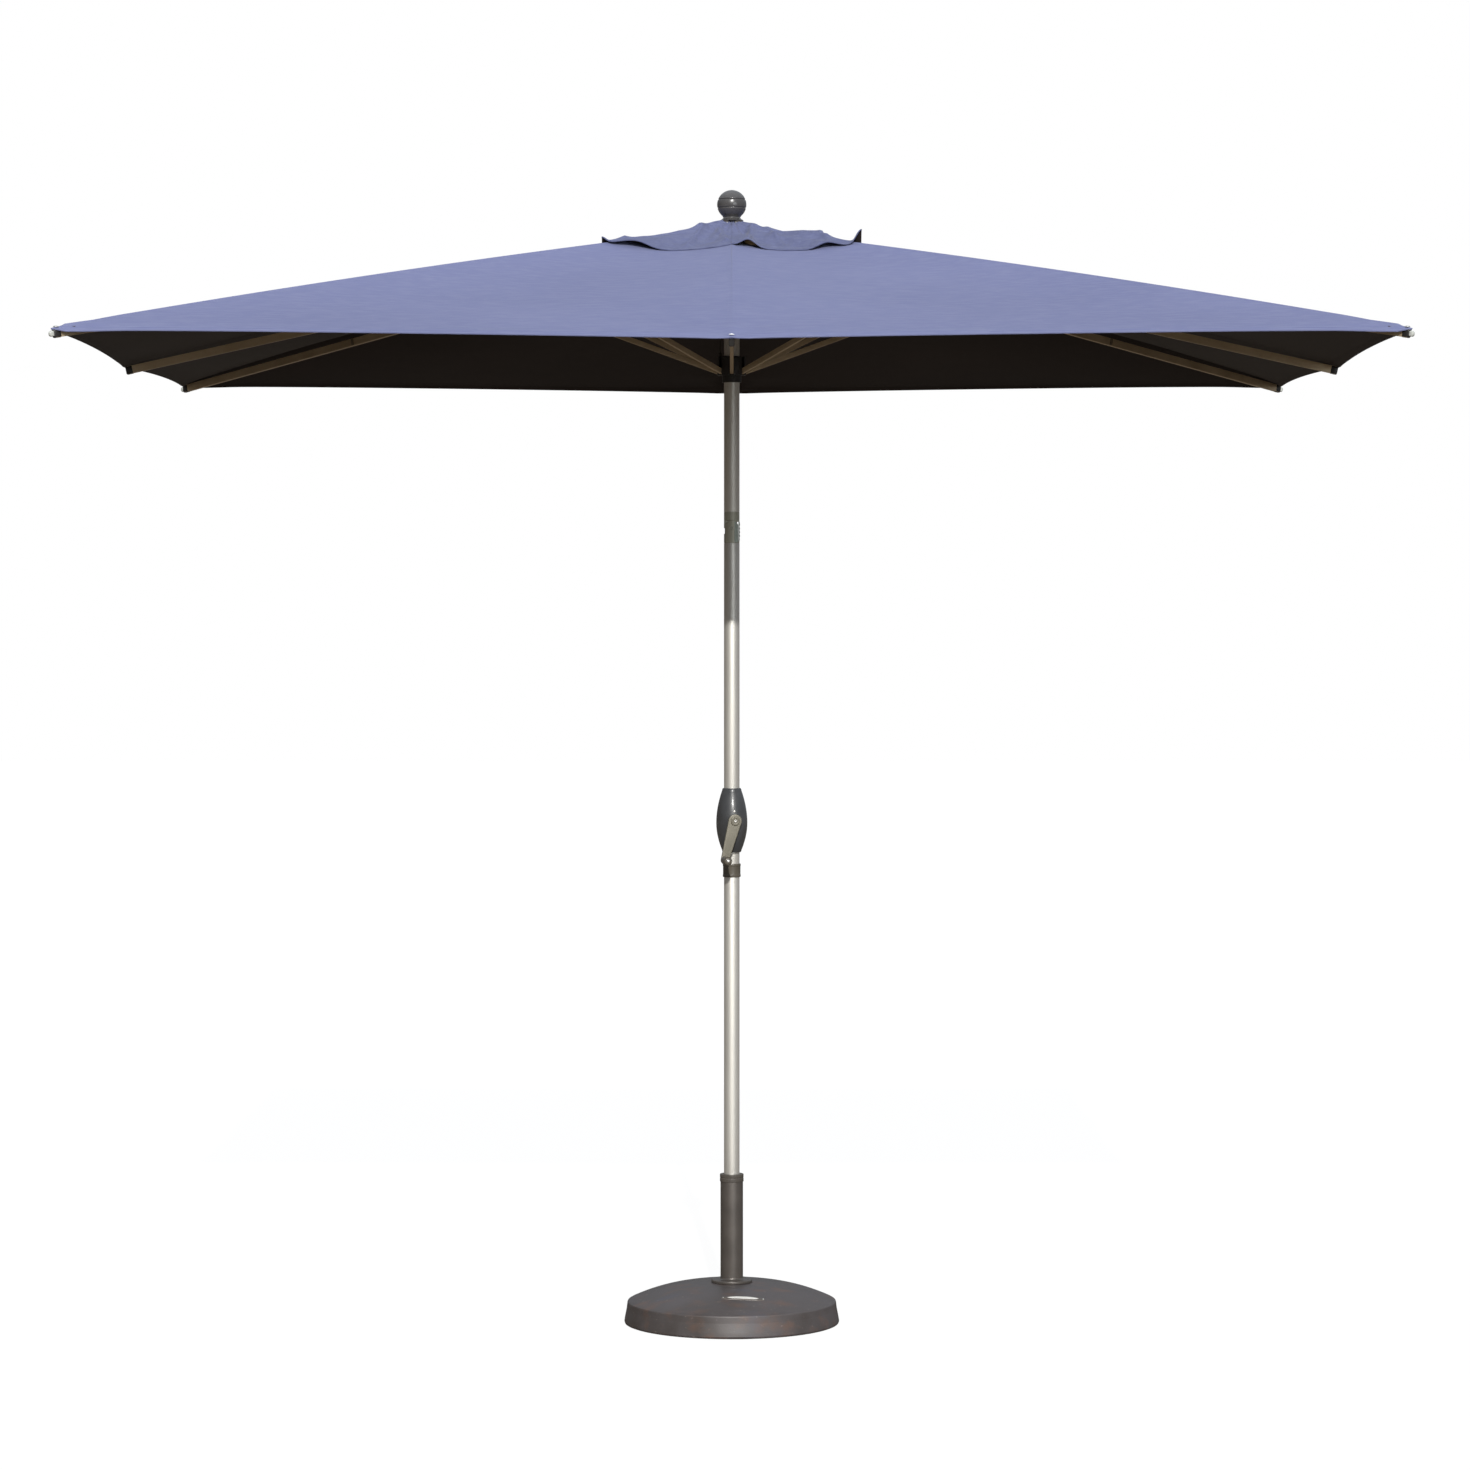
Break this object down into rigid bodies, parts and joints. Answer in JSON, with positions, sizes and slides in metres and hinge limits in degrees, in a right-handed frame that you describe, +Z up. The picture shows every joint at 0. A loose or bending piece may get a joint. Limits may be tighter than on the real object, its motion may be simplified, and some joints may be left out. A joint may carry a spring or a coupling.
{
  "type": "patio umbrella with base",
  "caption": "Rectangular market umbrella on a tubular pole with crank lift, push-button tilt joint and a round domed base; ribs, struts and runner fold the canopy down.",
  "frame": {"origin": "on the floor, in the middle of the base's flat underside", "axes": "+Z up along the pole, +X along the canopy's long side, the crank faces -Y"},
  "size_m": [2.741, 2.1312, 2.552],
  "materials": {
    "canopy_cloth": "matte",
    "vent_cloth": "matte",
    "rib": "satin",
    "strut": "satin",
    "pole": "satin",
    "base": "satin",
    "base_tube": "satin",
    "tube_cap": "satin",
    "plate": "satin",
    "knob": "matte",
    "collar": "satin",
    "housing": "satin",
    "tilt_joint": "satin",
    "button": "satin",
    "crank": "satin",
    "grip": "satin",
    "steel": "satin",
    "black_plastic": "satin",
    "finial": "satin",
    "cord": "matte"
  },
  "bodies": {
    "base": {"base_weight": "base", "base_tube": "base_tube", "tube_cap": "tube_cap", "rating_plate": "plate"},
    "clamp": {"clamp_knob": "knob"},
    "pole": {"lower_pole": "pole", "pole_foot_plug": "black_plastic", "pole_collar": "collar", "mid_pole": "pole", "crank_housing_front": "housing", "crank_housing_rear": "housing", "tilt_fork": "tilt_joint", "tilt_pin": "steel", "button_spring": "steel", "lift_cord_inner": "cord"},
    "crank": {"crank_arm": "crank", "crank_spool": "steel"},
    "grip": {"crank_grip": "grip"},
    "button": {"tilt_button": "button"},
    "head": {"upper_pole": "pole", "tilt_tongue": "tilt_joint", "top_hub": "black_plastic", "finial": "finial", "vent_canopy": "vent_cloth", "lift_cord_head": "cord"},
    "pulley": {"pulley": "black_plastic"},
    "runner": {"runner": "black_plastic", "lift_cord_drop": "cord"},
    "rib_rear_right": {"rib_rear_right": "rib"},
    "strut_rear_right": {"strut_rear_right": "strut"},
    "canopy_rear_right_a": {"canopy_rear_right_a": "canopy_cloth"},
    "canopy_rear_right_b": {"canopy_rear_right_b": "canopy_cloth"},
    "rib_right": {"rib_right": "rib"},
    "strut_right": {"strut_right": "strut"},
    "canopy_right_a": {"canopy_right_a": "canopy_cloth"},
    "canopy_right_b": {"canopy_right_b": "canopy_cloth"},
    "rib_rear": {"rib_rear": "rib"},
    "strut_rear": {"strut_rear": "strut"},
    "canopy_rear_a": {"canopy_rear_a": "canopy_cloth"},
    "canopy_rear_b": {"canopy_rear_b": "canopy_cloth"},
    "rib_rear_left": {"rib_rear_left": "rib"},
    "strut_rear_left": {"strut_rear_left": "strut"},
    "canopy_rear_left_a": {"canopy_rear_left_a": "canopy_cloth"},
    "canopy_rear_left_b": {"canopy_rear_left_b": "canopy_cloth"},
    "rib_left": {"rib_left": "rib"},
    "strut_left": {"strut_left": "strut"},
    "canopy_left_a": {"canopy_left_a": "canopy_cloth"},
    "canopy_left_b": {"canopy_left_b": "canopy_cloth"},
    "rib_front_left": {"rib_front_left": "rib"},
    "strut_front_left": {"strut_front_left": "strut"},
    "canopy_front_left_a": {"canopy_front_left_a": "canopy_cloth"},
    "canopy_front_left_b": {"canopy_front_left_b": "canopy_cloth"},
    "rib_front": {"rib_front": "rib"},
    "strut_front": {"strut_front": "strut"},
    "canopy_front_a": {"canopy_front_a": "canopy_cloth"},
    "canopy_front_b": {"canopy_front_b": "canopy_cloth"},
    "rib_front_right": {"rib_front_right": "rib"},
    "strut_front_right": {"strut_front_right": "strut"},
    "canopy_front_right_a": {"canopy_front_right_a": "canopy_cloth"},
    "canopy_front_right_b": {"canopy_front_right_b": "canopy_cloth"}
  },
  "joints": [
    {"name": "pole_turn", "type": "hinge", "parent": "base", "child": "pole", "pos_m": [0, 0, 0.2], "axis": [0, 0, 1], "continuous": true},
    {"name": "clamp_turn", "type": "hinge", "parent": "base", "child": "clamp", "pos_m": [0, 0.05, 0.285], "axis": [0, 1, 0], "range_deg": [0, 720]},
    {"name": "tilt", "type": "hinge", "parent": "pole", "child": "head", "pos_m": [0, 0, 1.79], "axis": [0, -1, 0], "range_deg": [0, 35]},
    {"name": "button_press", "type": "slide", "parent": "pole", "child": "button", "axis": [-1, 0, 0], "range_m": [0, 0.0022], "stiffness_N_per_m": 600, "springref_m": -0.001, "deforming": ["button_spring"]},
    {"name": "grip_spin", "type": "hinge", "parent": "crank", "child": "grip", "pos_m": [-0.02326, -0.00368, 1.0441], "axis": [0.1564, -0.9877, 0], "continuous": true},
    {"name": "canopy_fold", "type": "hinge", "parent": "head", "child": "rib_rear_right", "pos_m": [0.02526, 0.01964, 2.44], "axis": [0.6137, -0.7895, 0], "range_deg": [-76.62, 0], "deforming": ["vent_canopy", "canopy_right_a", "canopy_right_b", "canopy_rear_right_a", "canopy_rear_right_b", "canopy_rear_a", "canopy_rear_b", "canopy_rear_left_a", "canopy_rear_left_b", "canopy_left_a", "canopy_left_b", "canopy_front_left_a", "canopy_front_left_b", "canopy_front_a", "canopy_front_b", "canopy_front_right_a", "canopy_front_right_b"]},
    {"name": "strut_rear_right_fold", "type": "hinge", "parent": "rib_rear_right", "child": "strut_rear_right", "pos_m": [0.39831, 0.30963, 2.34265], "axis": [0.6137, -0.7895, 0], "range_deg": [-0.5, 142.27]},
    {"name": "canopy_rear_right_a_fold", "type": "hinge", "parent": "rib_rear_right", "child": "canopy_rear_right_a", "pos_m": [1.37, 1.065, 2.171], "axis": [0.7783, 0.605, -0.1679], "range_deg": [-0.5, 50.35]},
    {"name": "canopy_rear_right_b_fold", "type": "hinge", "parent": "rib_rear_right", "child": "canopy_rear_right_b", "pos_m": [1.37, 1.065, 2.171], "axis": [-0.7783, -0.605, 0.1679], "range_deg": [-0.5, 53.85]},
    {"name": "rib_right_fold", "type": "hinge", "parent": "head", "child": "rib_right", "pos_m": [0.032, 0, 2.44], "axis": [0, -1, 0], "range_deg": [-74.01, 0.5]},
    {"name": "strut_right_fold", "type": "hinge", "parent": "rib_right", "child": "strut_right", "pos_m": [0.50648, 0, 2.31539], "axis": [0, -1, 0], "range_deg": [-0.5, 141.99]},
    {"name": "canopy_right_a_fold", "type": "hinge", "parent": "rib_right", "child": "canopy_right_a", "pos_m": [1.37, 0, 2.156], "axis": [0.9753, 0, -0.221], "range_deg": [-0.5, 45.02]},
    {"name": "canopy_right_b_fold", "type": "hinge", "parent": "rib_right", "child": "canopy_right_b", "pos_m": [1.37, 0, 2.156], "axis": [-0.9753, 0, 0.221], "range_deg": [-0.5, 45.02]},
    {"name": "rib_rear_fold", "type": "hinge", "parent": "head", "child": "rib_rear", "pos_m": [0, 0.032, 2.44], "axis": [1, 0, 0], "range_deg": [-70.33, 0.5]},
    {"name": "strut_rear_fold", "type": "hinge", "parent": "rib_rear", "child": "strut_rear", "pos_m": [0, 0.50698, 2.28251], "axis": [1, 0, 0], "range_deg": [-0.5, 141.77]},
    {"name": "canopy_rear_a_fold", "type": "hinge", "parent": "rib_rear", "child": "canopy_rear_a", "pos_m": [0, 1.065, 2.153], "axis": [0, 0.9593, -0.2824], "range_deg": [-0.5, 37.18]},
    {"name": "canopy_rear_b_fold", "type": "hinge", "parent": "rib_rear", "child": "canopy_rear_b", "pos_m": [0, 1.065, 2.153], "axis": [0, -0.9593, 0.2824], "range_deg": [-0.5, 37.18]},
    {"name": "rib_rear_left_fold", "type": "hinge", "parent": "head", "child": "rib_rear_left", "pos_m": [-0.02526, 0.01964, 2.44], "axis": [0.6137, 0.7895, 0], "range_deg": [-77.12, 0.5]},
    {"name": "strut_rear_left_fold", "type": "hinge", "parent": "rib_rear_left", "child": "strut_rear_left", "pos_m": [-0.39831, 0.30963, 2.34265], "axis": [0.6137, 0.7895, 0], "range_deg": [-0.5, 142.27]},
    {"name": "canopy_rear_left_a_fold", "type": "hinge", "parent": "rib_rear_left", "child": "canopy_rear_left_a", "pos_m": [-1.37, 1.065, 2.171], "axis": [-0.7783, 0.605, -0.1679], "range_deg": [-0.5, 53.85]},
    {"name": "canopy_rear_left_b_fold", "type": "hinge", "parent": "rib_rear_left", "child": "canopy_rear_left_b", "pos_m": [-1.37, 1.065, 2.171], "axis": [0.7783, -0.605, 0.1679], "range_deg": [-0.5, 50.35]},
    {"name": "rib_left_fold", "type": "hinge", "parent": "head", "child": "rib_left", "pos_m": [-0.032, 0, 2.44], "axis": [0, 1, 0], "range_deg": [-74.01, 0.5]},
    {"name": "strut_left_fold", "type": "hinge", "parent": "rib_left", "child": "strut_left", "pos_m": [-0.50648, 0, 2.31539], "axis": [0, 1, 0], "range_deg": [-0.5, 141.99]},
    {"name": "canopy_left_a_fold", "type": "hinge", "parent": "rib_left", "child": "canopy_left_a", "pos_m": [-1.37, 0, 2.156], "axis": [-0.9753, 0, -0.221], "range_deg": [-0.5, 45.02]},
    {"name": "canopy_left_b_fold", "type": "hinge", "parent": "rib_left", "child": "canopy_left_b", "pos_m": [-1.37, 0, 2.156], "axis": [0.9753, 0, 0.221], "range_deg": [-0.5, 45.02]},
    {"name": "rib_front_left_fold", "type": "hinge", "parent": "head", "child": "rib_front_left", "pos_m": [-0.02526, -0.01964, 2.44], "axis": [-0.6137, 0.7895, 0], "range_deg": [-77.12, 0.5]},
    {"name": "strut_front_left_fold", "type": "hinge", "parent": "rib_front_left", "child": "strut_front_left", "pos_m": [-0.39831, -0.30963, 2.34265], "axis": [-0.6137, 0.7895, 0], "range_deg": [-0.5, 142.27]},
    {"name": "canopy_front_left_a_fold", "type": "hinge", "parent": "rib_front_left", "child": "canopy_front_left_a", "pos_m": [-1.37, -1.065, 2.171], "axis": [-0.7783, -0.605, -0.1679], "range_deg": [-0.5, 50.35]},
    {"name": "canopy_front_left_b_fold", "type": "hinge", "parent": "rib_front_left", "child": "canopy_front_left_b", "pos_m": [-1.37, -1.065, 2.171], "axis": [0.7783, 0.605, 0.1679], "range_deg": [-0.5, 53.85]},
    {"name": "rib_front_fold", "type": "hinge", "parent": "head", "child": "rib_front", "pos_m": [0, -0.032, 2.44], "axis": [-1, 0, 0], "range_deg": [-70.33, 0.5]},
    {"name": "strut_front_fold", "type": "hinge", "parent": "rib_front", "child": "strut_front", "pos_m": [0, -0.50698, 2.28251], "axis": [-1, 0, 0], "range_deg": [-0.5, 141.77]},
    {"name": "canopy_front_a_fold", "type": "hinge", "parent": "rib_front", "child": "canopy_front_a", "pos_m": [0, -1.065, 2.153], "axis": [0, -0.9593, -0.2824], "range_deg": [-0.5, 37.18]},
    {"name": "canopy_front_b_fold", "type": "hinge", "parent": "rib_front", "child": "canopy_front_b", "pos_m": [0, -1.065, 2.153], "axis": [0, 0.9593, 0.2824], "range_deg": [-0.5, 37.18]},
    {"name": "rib_front_right_fold", "type": "hinge", "parent": "head", "child": "rib_front_right", "pos_m": [0.02526, -0.01964, 2.44], "axis": [-0.6137, -0.7895, 0], "range_deg": [-77.12, 0.5]},
    {"name": "strut_front_right_fold", "type": "hinge", "parent": "rib_front_right", "child": "strut_front_right", "pos_m": [0.39831, -0.30963, 2.34265], "axis": [-0.6137, -0.7895, 0], "range_deg": [-0.5, 142.27]},
    {"name": "canopy_front_right_a_fold", "type": "hinge", "parent": "rib_front_right", "child": "canopy_front_right_a", "pos_m": [1.37, -1.065, 2.171], "axis": [0.7783, -0.605, -0.1679], "range_deg": [-0.5, 53.85]},
    {"name": "canopy_front_right_b_fold", "type": "hinge", "parent": "rib_front_right", "child": "canopy_front_right_b", "pos_m": [1.37, -1.065, 2.171], "axis": [-0.7783, 0.605, 0.1679], "range_deg": [-0.5, 50.35]},
    {"name": "runner_slide", "type": "slide", "parent": "head", "child": "runner", "axis": [0, 0, -1], "range_m": [-0.003, 0.703]},
    {"name": "crank_turn", "type": "hinge", "parent": "pole", "child": "crank", "pos_m": [0, 0, 1.132], "axis": [0.1564, -0.9877, 0], "range_deg": [-5, 3605]},
    {"name": "pulley_turn", "type": "hinge", "parent": "head", "child": "pulley", "pos_m": [-0.009, 0, 2.378], "axis": [0, 1, 0], "range_deg": [-2911.31, 5]}
  ],
  "couplings": [
    {"joint": "strut_rear_right_fold", "follows": "canopy_fold", "ratio": -1.8505},
    {"joint": "canopy_rear_right_a_fold", "follows": "canopy_fold", "ratio": -0.6507},
    {"joint": "canopy_rear_right_b_fold", "follows": "canopy_fold", "ratio": -0.69629},
    {"joint": "rib_right_fold", "follows": "canopy_fold", "ratio": 0.9594},
    {"joint": "strut_right_fold", "follows": "canopy_fold", "ratio": -1.8467},
    {"joint": "canopy_right_a_fold", "follows": "canopy_fold", "ratio": -0.5811},
    {"joint": "canopy_right_b_fold", "follows": "canopy_fold", "ratio": -0.5811},
    {"joint": "rib_rear_fold", "follows": "canopy_fold", "ratio": 0.91145},
    {"joint": "strut_rear_fold", "follows": "canopy_fold", "ratio": -1.8439},
    {"joint": "canopy_rear_a_fold", "follows": "canopy_fold", "ratio": -0.47877},
    {"joint": "canopy_rear_b_fold", "follows": "canopy_fold", "ratio": -0.47877},
    {"joint": "rib_rear_left_fold", "follows": "canopy_fold", "ratio": 1},
    {"joint": "strut_rear_left_fold", "follows": "canopy_fold", "ratio": -1.8505},
    {"joint": "canopy_rear_left_a_fold", "follows": "canopy_fold", "ratio": -0.69629},
    {"joint": "canopy_rear_left_b_fold", "follows": "canopy_fold", "ratio": -0.6507},
    {"joint": "rib_left_fold", "follows": "canopy_fold", "ratio": 0.9594},
    {"joint": "strut_left_fold", "follows": "canopy_fold", "ratio": -1.8467},
    {"joint": "canopy_left_a_fold", "follows": "canopy_fold", "ratio": -0.5811},
    {"joint": "canopy_left_b_fold", "follows": "canopy_fold", "ratio": -0.5811},
    {"joint": "rib_front_left_fold", "follows": "canopy_fold", "ratio": 1},
    {"joint": "strut_front_left_fold", "follows": "canopy_fold", "ratio": -1.8505},
    {"joint": "canopy_front_left_a_fold", "follows": "canopy_fold", "ratio": -0.6507},
    {"joint": "canopy_front_left_b_fold", "follows": "canopy_fold", "ratio": -0.69629},
    {"joint": "rib_front_fold", "follows": "canopy_fold", "ratio": 0.91145},
    {"joint": "strut_front_fold", "follows": "canopy_fold", "ratio": -1.8439},
    {"joint": "canopy_front_a_fold", "follows": "canopy_fold", "ratio": -0.47877},
    {"joint": "canopy_front_b_fold", "follows": "canopy_fold", "ratio": -0.47877},
    {"joint": "rib_front_right_fold", "follows": "canopy_fold", "ratio": 1},
    {"joint": "strut_front_right_fold", "follows": "canopy_fold", "ratio": -1.8505},
    {"joint": "canopy_front_right_a_fold", "follows": "canopy_fold", "ratio": -0.69629},
    {"joint": "canopy_front_right_b_fold", "follows": "canopy_fold", "ratio": -0.6507},
    {"joint": "runner_slide", "follows": "canopy_fold", "m_per_rad": -0.52348},
    {"joint": "crank_turn", "follows": "canopy_fold", "ratio": -46.988},
    {"joint": "pulley_turn", "follows": "canopy_fold", "ratio": 37.934}
  ]
}
